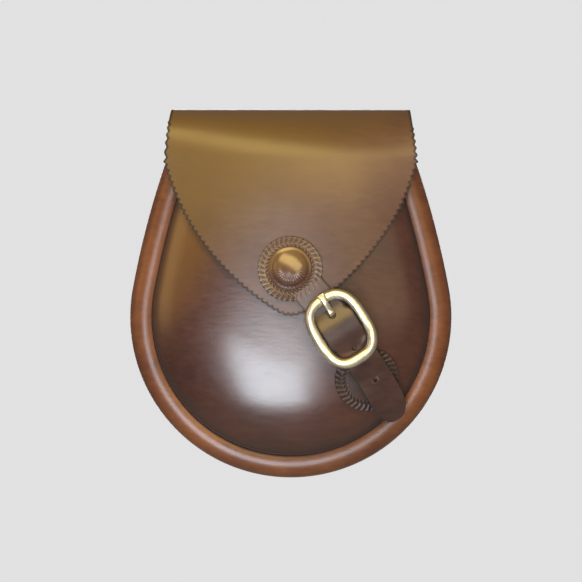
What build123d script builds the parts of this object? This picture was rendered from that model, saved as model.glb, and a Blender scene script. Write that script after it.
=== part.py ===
"""Leather belt pouch: moulded front, rolled rim, folded flap with a buckled strap.

Millimetres. +Z is up and the front faces -Y. The origin is where the belt runs:
in the middle of the two belt loops, on the outside face of the back panel.
"""

import os
from math import asin, cos, degrees, hypot, radians, sin, sqrt, tan

from build123d import *

os.makedirs("parts", exist_ok=True)

# ---------------------------------------------------------------- driving dimensions
# bag
BAG_WIDTH = 186.6          # across the rolled rim at its widest
BAG_HEIGHT = 213.0         # top crease to the bottom of the rim
SIDE_RADIUS = 516.0        # the long arcs of the sides
SIDE_START = 10.5          # degrees above level where bottom arc and side arcs meet
BELT_DROP = 48.0           # top crease down to the middle of the belt
MOUTH_DROP = 24.0          # top crease down to the level mouth
LEATHER = 3.0              # back panel and flap, one hide
# rolled rim
ROLL_RADIUS = 8.7
ROLL_WALL = 2.0
CREASE_INSET = 13.0        # silhouette to the seam between rim and front
SEAM_ALLOWANCE = 8.0       # width of the lips turned into the bag
# moulded front
FRONT_WALL = 2.5
SEAM_DEPTH = 19.5          # back face to the seam, before doming
DOME_HEIGHT = 22.5         # seam to the fullest point
DOME_RISE = 70.0           # fullest point above the bottom of the rim
DOME_FALL = 2.2            # how early the dome begins to fall away
DOME_EDGE = 0.625          # how square its foot is
# back panel
BACK_INSET = 4.0           # rim's silhouette beyond the back panel's edge
CREASE_WIDTH = 139.0       # of back and flap at the top crease
# flap
FLAP_WING_WIDTH = 144.8    # widest, a little below the top crease
FLAP_WING_DROP = 28.0      # top crease down to the wings' corners
FLAP_LENGTH = 118.8        # top crease down to the tip
FLAP_TIP_WIDTH = 16.0
FLAP_TIP_ROUND = 2.5       # how far the rounded tip reaches past its corners
FLAP_SAG = 10.3            # bow of each curved edge
SHOULDER_DROP = 26.0       # where the flap turns over from the front to the crease
SHOULDER_SLOPE = 1.5       # how far the flap has dropped where it turns over
LAY_SOFT = 4.0             # how softly leather bridges from the dome to the rim
# closing strap, laid down and to the right across the front
STRAP_ANGLE = 57.7         # degrees below level
STRAP_WIDTH = 19.6
STRAP_LEATHER = 2.2
STRAP_TO_TIP = 61.5        # buckle bar to the strap's tip
STRAP_TO_ROSETTE = 44.6    # buckle bar to the middle of the rosette
ROSETTE_OFFSET = 6.1       # rosette's middle off the buckle's axis
STRAP_BOW = 3.5
STRAP_POINT = 15.0         # length of the pointed end
STRAP_TIP_WIDTH = 7.0
HOLE_DIAMETER = 3.0
TONGUE_HOLE = 8.5          # buckle bar to the slot that takes the tongue
TONGUE_SLOT = 8.8
HOLE_PITCH = 22.2
SPARE_HOLES = 2
ROSETTE_RADIUS = 18.6
# rosette's domed button
BUTTON_RADIUS = 11.0
BUTTON_FLANGE = 13.8
BUTTON_HEIGHT = 4.6
BUTTON_LEATHER = 1.2
STUD_SHANK = 3.0
STUD_WASHER = 9.0
STUD_WASHER_THICK = 1.0
# buckle
BUCKLE_SHARE = 0.1533      # of the bag's width, right of the middle
BUCKLE_DROP = 126.35       # top crease down to the bar
BUCKLE_LENGTH = 45.8
BUCKLE_WIDTH = 35.4
BUCKLE_RAIL = 6.2          # width of the frame's rails
BUCKLE_THICK = 4.2
BAR_RADIUS = 1.6
TONGUE_WIDTH = 3.0
TONGUE_THICK = 1.5
# chape, which carries the buckle
CHAPE_LEATHER = 2.0
CHAPE_WIDTH = 17.5
CHAPE_TAIL = 20.0          # bar to the end of the layer that is folded under
BAR_LIFT = 3.9             # bar's middle above the front
FRAME_LIFT = 7.3           # underside of the frame above the front
NOTCH_DEPTH = 1.2          # where the tongue rests on the frame
PATCH_ALONG = 33.1         # bar to the patch's middle, along the strap
PATCH_OFFSET = 2.5
# belt loops
LOOP_SPACING = 70.0
LOOP_WIDTH = 30.0
LOOP_LEATHER = 3.0
LOOP_OPENING = 60.0        # height for the belt
LOOP_DEPTH = 6.0           # room for the belt's thickness
LOOP_TAB = 11.0            # length riveted to the back panel, above and below
RIVET_SPREAD = 16.0
RIVET_HEAD = 8.5
RIVET_SHANK = 3.0
RIVET_HEAD_HEIGHT = 1.8
WASHER_DIAMETER = 8.0
WASHER_THICK = 1.0
# clearances
BODY_GAP = 0.3             # between leathers that part when the bag is opened
LAY_GAP = 0.15             # between leathers that stay together
PIN_GAP = 0.06             # all round a pin that turns
FOLD_GAP = 0.15            # between the bar and the chape folded round it
REST_GAP = 0.1             # under the tongue where it rests on the frame

# ---------------------------------------------------------------- worked-out places
top_z = BELT_DROP
base_z = top_z - BAG_HEIGHT
mouth_z = top_z - MOUTH_DROP
low_z = base_z + BAG_WIDTH / 2
dome_z = base_z + DOME_RISE
roll_y = -(LEATHER + ROLL_RADIUS)
side_swing = SIDE_RADIUS - BAG_WIDTH / 2
side_x = -side_swing * cos(radians(SIDE_START))
side_z = low_z - side_swing * sin(radians(SIDE_START))
hinge_z = top_z - LEATHER / 2
ridge_height = LEATHER + 2 * ROLL_RADIUS - SEAM_DEPTH
shoulder_z = top_z - SHOULDER_DROP
back_top = hinge_z - LEATHER / 2 - BODY_GAP
tab_z = LOOP_OPENING / 2 + LOOP_LEATHER
rivet_z = tab_z + LOOP_TAB / 2
rivet_places = [
    (side * LOOP_SPACING / 2 + across * RIVET_SPREAD / 2, level * rivet_z)
    for side in (-1, 1)
    for level in (-1, 1)
    for across in (-1, 1)
]
bar_z = top_z - BUCKLE_DROP
strap_along = (cos(radians(STRAP_ANGLE)), 0, -sin(radians(STRAP_ANGLE)))
strap_plan = Plane((BUCKLE_SHARE * BAG_WIDTH, 0, bar_z), x_dir=strap_along, z_dir=(0, -1, 0))
strap_reach = (STRAP_TO_TIP + STRAP_TO_ROSETTE) / 2
strap_center = (STRAP_TO_TIP - STRAP_TO_ROSETTE) / 2
frame_inside = BUCKLE_LENGTH / 2 - BUCKLE_RAIL
bag_depth = SEAM_DEPTH + DOME_HEIGHT


def rim_arcs(inset, level, share=1.0):
    """Draw the bag's outline, open at the top, and give its two ends.

    inset is measured in from the rim's silhouette, level is the height where it
    stops, and share shrinks it about the fullest point of the front.
    """
    def shrunk(x, z):
        return (x * share, dome_z + (z - dome_z) * share)

    low_radius = BAG_WIDTH / 2 - inset
    side_radius = SIDE_RADIUS - inset
    turn = degrees(asin((level - side_z) / side_radius)) - SIDE_START
    CenterArc(shrunk(-side_x, side_z), side_radius * share, 180 - SIDE_START - turn, turn)
    CenterArc(shrunk(0, low_z), low_radius * share, 180 - SIDE_START, 180 + 2 * SIDE_START)
    CenterArc(shrunk(side_x, side_z), side_radius * share, SIDE_START, turn)
    half_width = side_x + side_radius * cos(radians(SIDE_START + turn))
    return shrunk(-half_width, level), shrunk(half_width, level)


def mouth_arc(inset):
    """Middle, radius and half turn of the arc that would close the outline at the mouth."""
    side_radius = SIDE_RADIUS - inset
    lean = asin((mouth_z - side_z) / side_radius)
    half_width = side_x + side_radius * cos(lean)
    return mouth_z - half_width * tan(lean), half_width / cos(lean), 90 - degrees(lean)


def dome_outline(inset, share=1.0):
    """Draw the bag's outline closed by an arc above the mouth."""
    rim_arcs(inset, mouth_z, share)
    center_z, radius, turn = mouth_arc(inset)
    CenterArc((0, dome_z + (center_z - dome_z) * share), radius * share, 90 - turn, 2 * turn)


def dome_share(x, z):
    """Where a point lies between the fullest point, 0, and the seam, 1."""
    reach = hypot(x, z - dome_z)
    if reach == 0:
        return 0.0
    across = abs(x) / reach
    up = (z - dome_z) / reach
    low_radius = BAG_WIDTH / 2 - CREASE_INSET
    top_center, top_radius, _ = mouth_arc(CREASE_INSET)
    for center_x, center_z, radius, limit in (
        (0, low_z, low_radius, low_z + low_radius * sin(radians(SIDE_START))),
        (side_x, side_z, SIDE_RADIUS - CREASE_INSET, mouth_z),
        (0, top_center, top_radius, top_z * 2),
    ):
        along = up * (dome_z - center_z) - across * center_x
        seam = -along + sqrt(along**2 - center_x**2 - (dome_z - center_z) ** 2 + radius**2)
        if dome_z + up * seam < limit:
            break
    return reach / seam


def dome_profile(share, height):
    """Height of a dome at a share of the way out to its foot."""
    return height * max(0.0, 1 - share**DOME_FALL) ** DOME_EDGE


def dome_height(x, z):
    """How far the moulded front stands forward of its seam."""
    return dome_profile(dome_share(x, z), DOME_HEIGHT)


def lay_height(x, z):
    """The same for leather that lies over the front and the rolled rim together."""
    dome = dome_height(x, z)
    return (dome + ridge_height + sqrt((dome - ridge_height) ** 2 + LAY_SOFT**2)) / 2


def eased(along, stations):
    """Ease from one station's value to the next."""
    for (start, first), (end, last) in zip(stations, stations[1:]):
        if along <= end:
            part = max(0.0, (along - start) / (end - start))
            return first + (last - first) * part * part * (3 - 2 * part)
    return stations[-1][1]


def spread(first, last, count):
    """Evenly spaced values, both ends included."""
    return [first + (last - first) * n / (count - 1) for n in range(count)]


def strap_middle(along):
    """How far the strap's bowed middle line lies off the buckle's axis."""
    part = (along - strap_center) / strap_reach
    return -ROSETTE_OFFSET * (1 - part) / 2 + STRAP_BOW * (1 - part**2)


def square_to_front(along, across, span):
    """A plane square to the front, over a span about a point beside the strap."""
    spot = strap_plan.from_local_coords((along, across, 0))
    slope_x = (lay_height(spot.X + span, spot.Z) - lay_height(spot.X - span, spot.Z)) / (2 * span)
    slope_z = (lay_height(spot.X, spot.Z + span) - lay_height(spot.X, spot.Z - span)) / (2 * span)
    spot.Y = -(SEAM_DEPTH + lay_height(spot.X, spot.Z))
    return Plane(spot, x_dir=strap_along, z_dir=(-slope_x, -1, -slope_z))


front_slope = square_to_front(0, 0, BUCKLE_LENGTH / 2)
# slid along the slope, so that the frame's underside is over the place in plan
straight_out = Vector(0, FRAME_LIFT / front_slope.z_dir.Y, 0)
slide = straight_out - front_slope.z_dir * FRAME_LIFT
buckle_plane = Plane(front_slope.origin + slide, x_dir=front_slope.x_dir, z_dir=front_slope.z_dir)
rosette_plane = square_to_front(-STRAP_TO_ROSETTE, -ROSETTE_OFFSET, ROSETTE_RADIUS)


def strap_bed(along, across):
    """The point under the strap: on the front, but on the buckle's plane near its bar."""
    spot = strap_plan.from_local_coords((along, across, 0))
    front = -(SEAM_DEPTH + lay_height(spot.X, spot.Z))
    normal = buckle_plane.z_dir
    away = spot - buckle_plane.origin
    plane = buckle_plane.origin.Y - (away.X * normal.X + away.Z * normal.Z) / normal.Y
    at_bar = eased(abs(along), ((BAR_RADIUS, 1.0), (frame_inside, 0.0)))
    spot.Y = front + (plane - front) * at_bar
    return spot


def skin(rows):
    """A face lofted through rows of points."""
    return Shell.make_loft([Wire([Edge.make_spline(row)]) for row in rows]).faces()[0]


def laid_band(lift, thickness, alongs, acrosses):
    """Leather that follows the front at a height lift(along, across), in flat facets."""
    sections = []
    for along in alongs:
        under, over = [], []
        for across in acrosses:
            spot = strap_bed(along, across) - Vector(0, lift(along, across), 0)
            under.append(spot)
            over.append(spot - Vector(0, thickness, 0))
        sections.append(Wire.make_polygon([*under, *reversed(over)]))
    return Solid.make_loft(sections, ruled=True)


def upright(plane):
    """The plane that stands on another along its x, for drawing side views."""
    return Plane(plane.origin, x_dir=plane.x_dir, z_dir=-plane.y_dir)


def oval(half_length, half_width, end_bow, side_bow, corner):
    """Draw an oval of four shallow arcs with rounded corners."""
    length = half_length - end_bow
    width = half_width - side_bow
    with BuildLine() as outline:
        ThreePointArc((-length, width), (0, half_width), (length, width))
        ThreePointArc((length, width), (half_length, 0), (length, -width))
        ThreePointArc((length, -width), (0, -half_width), (-length, -width))
        ThreePointArc((-length, -width), (-half_length, 0), (-length, width))
    shape = make_face(outline.edges())
    fillet(shape.vertices(), corner)


# ---------------------------------------------------------------- back panel
with BuildPart() as back_panel:
    with BuildSketch(Plane.XZ):
        with BuildLine():
            left, right = rim_arcs(BACK_INSET, mouth_z)
            Line(left, (-CREASE_WIDTH / 2, back_top))
            Line((-CREASE_WIDTH / 2, back_top), (CREASE_WIDTH / 2, back_top))
            Line((CREASE_WIDTH / 2, back_top), right)
        make_face()
        with Locations(*rivet_places):
            Circle(RIVET_SHANK / 2 + PIN_GAP, mode=Mode.SUBTRACT)
    extrude(amount=LEATHER)
back_panel.part.label = "back_panel"

# ---------------------------------------------------------------- rolled rim
# a strip rolled to a C, open to the inside, with both lips turned in for the seams
crease_in = CREASE_INSET - ROLL_RADIUS - LAY_GAP
crease_out = sqrt(ROLL_RADIUS**2 - crease_in**2)
inner_share = 1 - ROLL_WALL / ROLL_RADIUS
lip_front = roll_y + SEAM_DEPTH - FRONT_WALL
lip_end = crease_in + SEAM_ALLOWANCE
with BuildPart() as gusset:
    with BuildLine(Plane.XZ.offset(-roll_y)) as rim_path:
        rim_arcs(ROLL_RADIUS, mouth_z)
    # across the section, x runs to the back and y into the bag
    with BuildSketch(Plane(rim_path.line @ 0, x_dir=(0, 1, 0), z_dir=rim_path.line % 0)):
        Circle(ROLL_RADIUS)
        Circle(ROLL_RADIUS - ROLL_WALL, mode=Mode.SUBTRACT)
        with BuildLine():
            Polyline(
                (0, 0),
                (2 * ROLL_RADIUS, 0),
                (2 * ROLL_RADIUS, 2 * ROLL_RADIUS),
                (-2 * crease_out, 2 * ROLL_RADIUS),
                (-2 * crease_out, 2 * crease_in),
                close=True,
            )
        make_face(mode=Mode.SUBTRACT)
        with BuildLine():
            Polyline(
                (-crease_out, crease_in),
                (-lip_front, crease_in),
                (-lip_front, lip_end),
                (ROLL_WALL - lip_front, lip_end),
                (ROLL_WALL - lip_front, crease_in * inner_share),
                (-crease_out * inner_share, crease_in * inner_share),
                close=True,
            )
        make_face()
        with Locations((ROLL_RADIUS - ROLL_WALL, 0)):
            Rectangle(ROLL_WALL, lip_end, align=(Align.MIN, Align.MIN))
    sweep(path=rim_path.line)
gusset.part.label = "gusset"

# ---------------------------------------------------------------- moulded front
# shrinking outlines stacked forward of the seam; a second stack hollows the first
DOME_STEPS = (1.0, 0.985, 0.95, 0.88, 0.78, 0.65, 0.5, 0.35, 0.22, 0.1)
with BuildPart() as front_panel:
    for wall, side in ((0, Mode.ADD), (FRONT_WALL, Mode.SUBTRACT)):
        for share in DOME_STEPS:
            rise = dome_profile(share, DOME_HEIGHT - wall)
            with BuildSketch(Plane.XZ.offset(SEAM_DEPTH + rise)):
                with BuildLine():
                    dome_outline(CREASE_INSET + wall, share)
                make_face()
        loft(mode=side)
    # the edge turned in behind the seam
    with BuildSketch(Plane.XZ.offset(SEAM_DEPTH - FRONT_WALL)):
        for inset, side in ((CREASE_INSET, Mode.ADD), (CREASE_INSET + SEAM_ALLOWANCE, Mode.SUBTRACT)):
            with BuildLine():
                dome_outline(inset)
            make_face(mode=side)
    extrude(amount=FRONT_WALL)
    split(bisect_by=Plane.XY.offset(mouth_z), keep=Keep.BOTTOM)
front_panel.part.label = "front_panel"

# ---------------------------------------------------------------- flap
# follows the front, turns over the shoulder and runs back to the crease
def flap_spot(x, z):
    """A point on the flap's underside where it follows the front."""
    return Vector(x, -(SEAM_DEPTH + lay_height(x, z) + BODY_GAP), z)


def shoulder_spot(x, part):
    """The same on the shoulder, from where the flap turns over, 0, to the crease, 1."""
    low = flap_spot(x, shoulder_z)
    lean = low.Y - flap_spot(x, shoulder_z - 1).Y
    crease = Vector(x, 0, hinge_z - LEATHER / 2)
    high_z = crease.Z - SHOULDER_SLOPE
    high = Vector(x, low.Y + lean * (high_z - shoulder_z), high_z)
    return low * (1 - part) ** 2 + high * 2 * part * (1 - part) + crease * part**2


wing = (FLAP_WING_WIDTH / 2, top_z - FLAP_WING_DROP)
tip_z = top_z - FLAP_LENGTH
tip_corner = (FLAP_TIP_WIDTH / 2, tip_z + FLAP_TIP_ROUND)
tip_radius = FLAP_TIP_WIDTH**2 / (8 * FLAP_TIP_ROUND) + FLAP_TIP_ROUND / 2
tip_turn = degrees(asin(FLAP_TIP_WIDTH / 2 / tip_radius))
columns = spread(-FLAP_WING_WIDTH / 2 - 3, FLAP_WING_WIDTH / 2 + 3, 15)
rows = [[shoulder_spot(x, part) for x in columns] for part in (1, 0.85, 0.65, 0.45, 0.25, 0.1)]
rows += [[flap_spot(x, z) for x in columns] for z in spread(shoulder_z - 2, tip_z - 3, 9)]
with BuildPart() as flap:
    thicken(skin(rows), amount=-LEATHER)
    with BuildSketch(Plane.XZ):
        with BuildLine():
            Line((0, top_z + LEATHER), (CREASE_WIDTH / 2, top_z + LEATHER))
            Polyline((CREASE_WIDTH / 2, top_z + LEATHER), (CREASE_WIDTH / 2, top_z), wing)
            SagittaArc(wing, tip_corner, FLAP_SAG)
            CenterArc((0, tip_z + tip_radius), tip_radius, tip_turn - 90, -tip_turn)
            mirror(about=Plane.YZ)
        make_face()
    extrude(amount=2 * bag_depth, both=True, mode=Mode.INTERSECT)
    fillet(flap.faces().sort_by(Axis.Y)[-1].edges().sort_by(SortBy.LENGTH)[-2:], 0.48 * LEATHER)

# ---------------------------------------------------------------- closing strap
# lies on the flap, rises over the bar and drops past the chape to the rim
flap_top = BODY_GAP + LEATHER
fold_middle = BAR_RADIUS + FOLD_GAP + CHAPE_LEATHER / 2
fold_top = BAR_LIFT + fold_middle + CHAPE_LEATHER / 2
doubled_top = 2 * (LAY_GAP + CHAPE_LEATHER)
patch_top = LAY_GAP + CHAPE_LEATHER
patch_start = PATCH_ALONG - ROSETTE_RADIUS
patch_end = PATCH_ALONG + ROSETTE_RADIUS
strap_stations = (
    (-0.8 * frame_inside, flap_top + LAY_GAP),
    (-BAR_RADIUS, fold_top + BODY_GAP),
    (BAR_RADIUS, fold_top + BODY_GAP),
    (frame_inside, doubled_top + BODY_GAP),
    (CHAPE_TAIL + CHAPE_LEATHER, doubled_top + BODY_GAP),
    (PATCH_ALONG, patch_top + BODY_GAP),
    (patch_end, patch_top + BODY_GAP),
    (STRAP_TO_TIP, BODY_GAP),
)
strap_start = -STRAP_TO_ROSETTE
strap_shoulder = STRAP_TO_TIP - STRAP_POINT
disc_edge = ROSETTE_RADIUS + STRAP_LEATHER
with BuildPart() as closing_strap:
    alongs = spread(strap_start - disc_edge, STRAP_TO_TIP + STRAP_LEATHER, 34)
    acrosses = spread(-ROSETTE_OFFSET - disc_edge, -ROSETTE_OFFSET + disc_edge, 5)
    add(laid_band(lambda u, v: eased(u, strap_stations), STRAP_LEATHER, alongs, acrosses))
    with BuildSketch(strap_plan):
        with BuildLine():
            ends = []
            for side in (1, -1):
                places = (strap_start, (strap_start + strap_shoulder) / 2, strap_shoulder)
                near, middle, far = ((u, strap_middle(u) + side * STRAP_WIDTH / 2) for u in places)
                ThreePointArc(near, middle, far)
                tip = (STRAP_TO_TIP - STRAP_TIP_WIDTH / 4, side * STRAP_TIP_WIDTH / 2)
                bulge = ((far[0] + tip[0]) / 2 + 1, (far[1] + tip[1]) / 2 + side * 1.2)
                ThreePointArc(far, bulge, tip)
                ends.append((near, tip))
            ThreePointArc(ends[0][1], (STRAP_TO_TIP, 0), ends[1][1])
            Line(ends[0][0], ends[1][0])
        make_face()
        with Locations((strap_start, -ROSETTE_OFFSET)):
            Circle(ROSETTE_RADIUS)
        for number in range(SPARE_HOLES):
            hole = HOLE_PITCH * (number + 1) - TONGUE_HOLE
            with Locations((hole, strap_middle(hole))):
                Circle(HOLE_DIAMETER / 2, mode=Mode.SUBTRACT)
        with Locations((-TONGUE_HOLE, 0)):
            SlotOverall(TONGUE_SLOT, TONGUE_WIDTH + 2 * BODY_GAP, mode=Mode.SUBTRACT)
    extrude(amount=2 * bag_depth, both=True, mode=Mode.INTERSECT)
    with BuildSketch(rosette_plane):
        Circle(STUD_SHANK / 2 + PIN_GAP)
    extrude(amount=2 * bag_depth, both=True, mode=Mode.SUBTRACT)
closing_strap.part.label = "closing_strap"

# ---------------------------------------------------------------- rosette's button
# a leather cap moulded over the domed head of a stud that holds strap and flap
button_seat = flap_top + 2 * LAY_GAP + STRAP_LEATHER
button_axis = Axis(rosette_plane.origin, rosette_plane.z_dir)
stud_radius = BUTTON_RADIUS - BUTTON_LEATHER - LAY_GAP
stud_top = button_seat + BUTTON_HEIGHT - BUTTON_LEATHER - LAY_GAP
with BuildPart() as rosette_cap:
    with BuildSketch(upright(rosette_plane)):
        for inside, side in ((0, Mode.ADD), (BUTTON_LEATHER, Mode.SUBTRACT)):
            radius = BUTTON_RADIUS - inside
            height = BUTTON_HEIGHT - inside
            with BuildLine():
                ThreePointArc(
                    (0, button_seat + height),
                    (0.66 * radius, button_seat + 0.72 * height),
                    (radius, button_seat),
                )
                Polyline((radius, button_seat), (0, button_seat), (0, button_seat + height))
            make_face(mode=side)
        with Locations((BUTTON_RADIUS - BUTTON_LEATHER, button_seat)):
            Rectangle(
                BUTTON_FLANGE - BUTTON_RADIUS + BUTTON_LEATHER,
                BUTTON_LEATHER / 2,
                align=(Align.MIN, Align.MIN),
            )
    revolve(axis=button_axis)
rosette_cap.part.label = "rosette_cap"
with BuildPart() as rosette_stud:
    with BuildSketch(upright(rosette_plane)):
        with BuildLine():
            ThreePointArc(
                (0, stud_top),
                (0.66 * stud_radius, button_seat + 0.72 * (stud_top - button_seat)),
                (stud_radius, button_seat),
            )
            Polyline(
                (stud_radius, button_seat),
                (STUD_SHANK / 2, button_seat),
                (STUD_SHANK / 2, BODY_GAP),
                (0, BODY_GAP),
                (0, stud_top),
            )
        make_face()
    revolve(axis=button_axis)
rosette_stud.part.label = "rosette_stud"
with BuildPart() as rosette_washer:
    with BuildSketch(rosette_plane.offset(BODY_GAP)):
        Circle(STUD_WASHER / 2)
        Circle(STUD_SHANK / 2 + PIN_GAP, mode=Mode.SUBTRACT)
    extrude(amount=STUD_WASHER_THICK)
rosette_washer.part.label = "rosette_washer"
with flap:  # room for the stud and its washer
    with BuildSketch(rosette_plane):
        Circle(STUD_WASHER / 2 + LAY_GAP)
    extrude(amount=BODY_GAP + STUD_WASHER_THICK + LAY_GAP, mode=Mode.SUBTRACT)
    with BuildSketch(rosette_plane):
        Circle(STUD_SHANK / 2 + PIN_GAP)
    extrude(amount=2 * LEATHER, mode=Mode.SUBTRACT)
flap.part.label = "flap"

# ---------------------------------------------------------------- buckle
buckle_side = upright(buckle_plane)
frame_top = FRAME_LIFT + BUCKLE_THICK
inner_half_width = BUCKLE_WIDTH / 2 - BUCKLE_RAIL
boss_radius = BAR_RADIUS + 1.0
boss_end = BUCKLE_WIDTH / 2 - 1.6
with BuildPart() as buckle_frame:
    with BuildSketch(buckle_plane.offset(FRAME_LIFT)):
        oval(BUCKLE_LENGTH / 2, BUCKLE_WIDTH / 2, 4.0, 3.0, 10.5)
    extrude(amount=BUCKLE_THICK)
    with BuildSketch(buckle_plane.offset(FRAME_LIFT)):
        oval(frame_inside, inner_half_width, 2.0, 1.5, 6.0)
    extrude(amount=BUCKLE_THICK, mode=Mode.SUBTRACT)
    frame_faces = buckle_frame.faces().sort_by(Axis(buckle_plane.origin, buckle_plane.z_dir))
    fillet(frame_faces[-1].edges(), 0.32 * BUCKLE_RAIL)
    with BuildSketch(buckle_side):
        with Locations((0, BAR_LIFT)):
            Circle(boss_radius)
        with Locations((0, (BAR_LIFT + frame_top) / 2 - 1)):
            Rectangle(2 * boss_radius, frame_top - BAR_LIFT - 2)
    extrude(amount=boss_end, both=True)
    with BuildSketch(buckle_side):
        with Locations((0, BAR_LIFT)):
            Circle(2 * boss_radius)
        with Locations((0, BAR_LIFT + frame_top)):
            Rectangle(4 * boss_radius, 2 * frame_top)
    extrude(amount=inner_half_width, both=True, mode=Mode.SUBTRACT)
    with BuildSketch(buckle_side):
        with Locations((0, BAR_LIFT)):
            Circle(BAR_RADIUS)
    extrude(amount=boss_end, both=True)
    # notch where the tongue comes to rest
    with BuildSketch(buckle_plane.offset(frame_top)):
        with Locations((-frame_inside, 0)):
            Rectangle(2 * BUCKLE_RAIL, TONGUE_WIDTH + 2 * BODY_GAP)
    extrude(amount=-NOTCH_DEPTH, mode=Mode.SUBTRACT)
buckle_frame.part.label = "buckle_frame"

# ---------------------------------------------------------------- tongue
tongue_rest = frame_top - NOTCH_DEPTH + REST_GAP + TONGUE_THICK / 2
tongue_end = BUCKLE_LENGTH / 2 - 1.2
with BuildPart() as buckle_tongue:
    with BuildSketch(buckle_side):
        with BuildLine() as tongue_line:
            Polyline((0, BAR_LIFT), (-frame_inside, tongue_rest), (-tongue_end, tongue_rest))
        trace(line_width=TONGUE_THICK)
        with Locations((0, BAR_LIFT)):
            Circle(BAR_RADIUS + PIN_GAP + TONGUE_THICK)
            Circle(BAR_RADIUS + PIN_GAP, mode=Mode.SUBTRACT)
    extrude(amount=TONGUE_WIDTH / 2, both=True)
buckle_tongue.part.label = "buckle_tongue"

# ---------------------------------------------------------------- chape
# a round patch whose neck is folded round the bar and back under itself
over_stations = (
    (BAR_RADIUS, fold_top - CHAPE_LEATHER),
    (patch_start, doubled_top - CHAPE_LEATHER),
    (CHAPE_TAIL, doubled_top - CHAPE_LEATHER),
    (PATCH_ALONG - 2 * CHAPE_LEATHER, LAY_GAP),
)


def over_lift(along, across):
    """Underside of the patch: it bridges the tail in the middle and lies down beside it."""
    beside = CHAPE_WIDTH / 2 + BODY_GAP
    aside = eased(abs(across), ((beside, 1.0), (beside + 2 * CHAPE_LEATHER, 0.0)))
    return LAY_GAP + (eased(along, over_stations) - LAY_GAP) * aside


fold_bottom = BAR_LIFT - fold_middle - CHAPE_LEATHER / 2
with BuildPart() as buckle_chape:
    alongs = spread(-BAR_RADIUS / 2, patch_end + 2, 20)
    beside = CHAPE_WIDTH / 2 + BODY_GAP
    lying = beside + 2 * CHAPE_LEATHER
    acrosses = [-PATCH_OFFSET - disc_edge, -lying, -beside, 0, beside, lying, disc_edge]
    add(laid_band(over_lift, CHAPE_LEATHER, alongs, acrosses))
    with BuildSketch(strap_plan):
        Rectangle(patch_start + ROSETTE_RADIUS, CHAPE_WIDTH, align=(Align.MIN, Align.CENTER))
        with Locations((PATCH_ALONG, -PATCH_OFFSET)):
            Circle(ROSETTE_RADIUS)
    extrude(amount=2 * bag_depth, both=True, mode=Mode.INTERSECT)
    with BuildSketch(buckle_side):
        with Locations((0, BAR_LIFT)):
            Circle(fold_middle + CHAPE_LEATHER / 2)
            Circle(fold_middle - CHAPE_LEATHER / 2, mode=Mode.SUBTRACT)
            Rectangle(4 * fold_middle, 4 * fold_middle, align=(Align.MIN, Align.CENTER), mode=Mode.SUBTRACT)
        with Locations((0, fold_bottom)):
            Rectangle(patch_start, CHAPE_LEATHER, align=(Align.MIN, Align.MIN))
    extrude(amount=CHAPE_WIDTH / 2, both=True)
    # slot for the tongue's eye
    eye_room = BAR_RADIUS + PIN_GAP + TONGUE_THICK + 2 * BODY_GAP
    with BuildSketch(buckle_plane):
        with Locations((eye_room, 0)):
            Rectangle(4 * eye_room, TONGUE_WIDTH + 2 * BODY_GAP, align=(Align.MAX, Align.CENTER))
    extrude(amount=2 * fold_top, both=True, mode=Mode.SUBTRACT)
buckle_chape.part.label = "buckle_chape"

# ---------------------------------------------------------------- belt loops
belt_loops = []
loop_y = LOOP_DEPTH + LOOP_LEATHER / 2
riser_z = (LOOP_OPENING + LOOP_LEATHER) / 2
for name, side in (("left_belt_loop", -1), ("right_belt_loop", 1)):
    with BuildPart() as belt_loop:
        with BuildSketch(Plane.YZ.offset(side * LOOP_SPACING / 2)):
            with BuildLine():
                FilletPolyline(
                    (LOOP_LEATHER / 2, -tab_z - LOOP_TAB),
                    (LOOP_LEATHER / 2, -riser_z),
                    (loop_y, -riser_z),
                    (loop_y, riser_z),
                    (LOOP_LEATHER / 2, riser_z),
                    (LOOP_LEATHER / 2, tab_z + LOOP_TAB),
                    radius=0.48 * LOOP_DEPTH,
                )
            trace(line_width=LOOP_LEATHER)
        extrude(amount=LOOP_WIDTH / 2, both=True)
        with BuildSketch(Plane.XZ):
            with Locations(*rivet_places):
                Circle(RIVET_SHANK / 2 + PIN_GAP)
        extrude(amount=-LOOP_LEATHER, mode=Mode.SUBTRACT)
    belt_loop.part.label = name
    belt_loops.append(belt_loop)

# ---------------------------------------------------------------- rivets
rivets = []
for number, (x, z) in enumerate(rivet_places, start=1):
    axis = Axis((x, 0, z), (0, 1, 0))
    with BuildPart() as rivet:
        with BuildSketch(Plane((x, 0, z))):
            with BuildLine():
                ThreePointArc(
                    (0, LOOP_LEATHER + RIVET_HEAD_HEIGHT),
                    (0.3 * RIVET_HEAD, LOOP_LEATHER + 0.66 * RIVET_HEAD_HEIGHT),
                    (RIVET_HEAD / 2, LOOP_LEATHER),
                )
                Polyline(
                    (RIVET_HEAD / 2, LOOP_LEATHER),
                    (RIVET_SHANK / 2, LOOP_LEATHER),
                    (RIVET_SHANK / 2, -LEATHER - 1.5 * WASHER_THICK),
                    (0, -LEATHER - 1.5 * WASHER_THICK),
                    (0, LOOP_LEATHER + RIVET_HEAD_HEIGHT),
                )
            make_face()
        revolve(axis=axis)
    rivet.part.label = f"loop_rivet_{number}"
    with BuildPart() as washer:
        with BuildSketch(Plane.XZ.offset(LEATHER)):
            with Locations((x, z)):
                Circle(WASHER_DIAMETER / 2)
                Circle(RIVET_SHANK / 2 + PIN_GAP, mode=Mode.SUBTRACT)
        extrude(amount=WASHER_THICK)
    washer.part.label = f"loop_washer_{number}"
    rivets += [rivet, washer]

# ---------------------------------------------------------------- hand over
pieces = [back_panel, gusset, front_panel, flap, closing_strap, rosette_cap, rosette_stud]
pieces += [rosette_washer, buckle_frame, buckle_tongue, buckle_chape, *belt_loops, *rivets]
for piece in pieces:
    export_step(piece.part, f"parts/{piece.part.label}.step")
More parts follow.
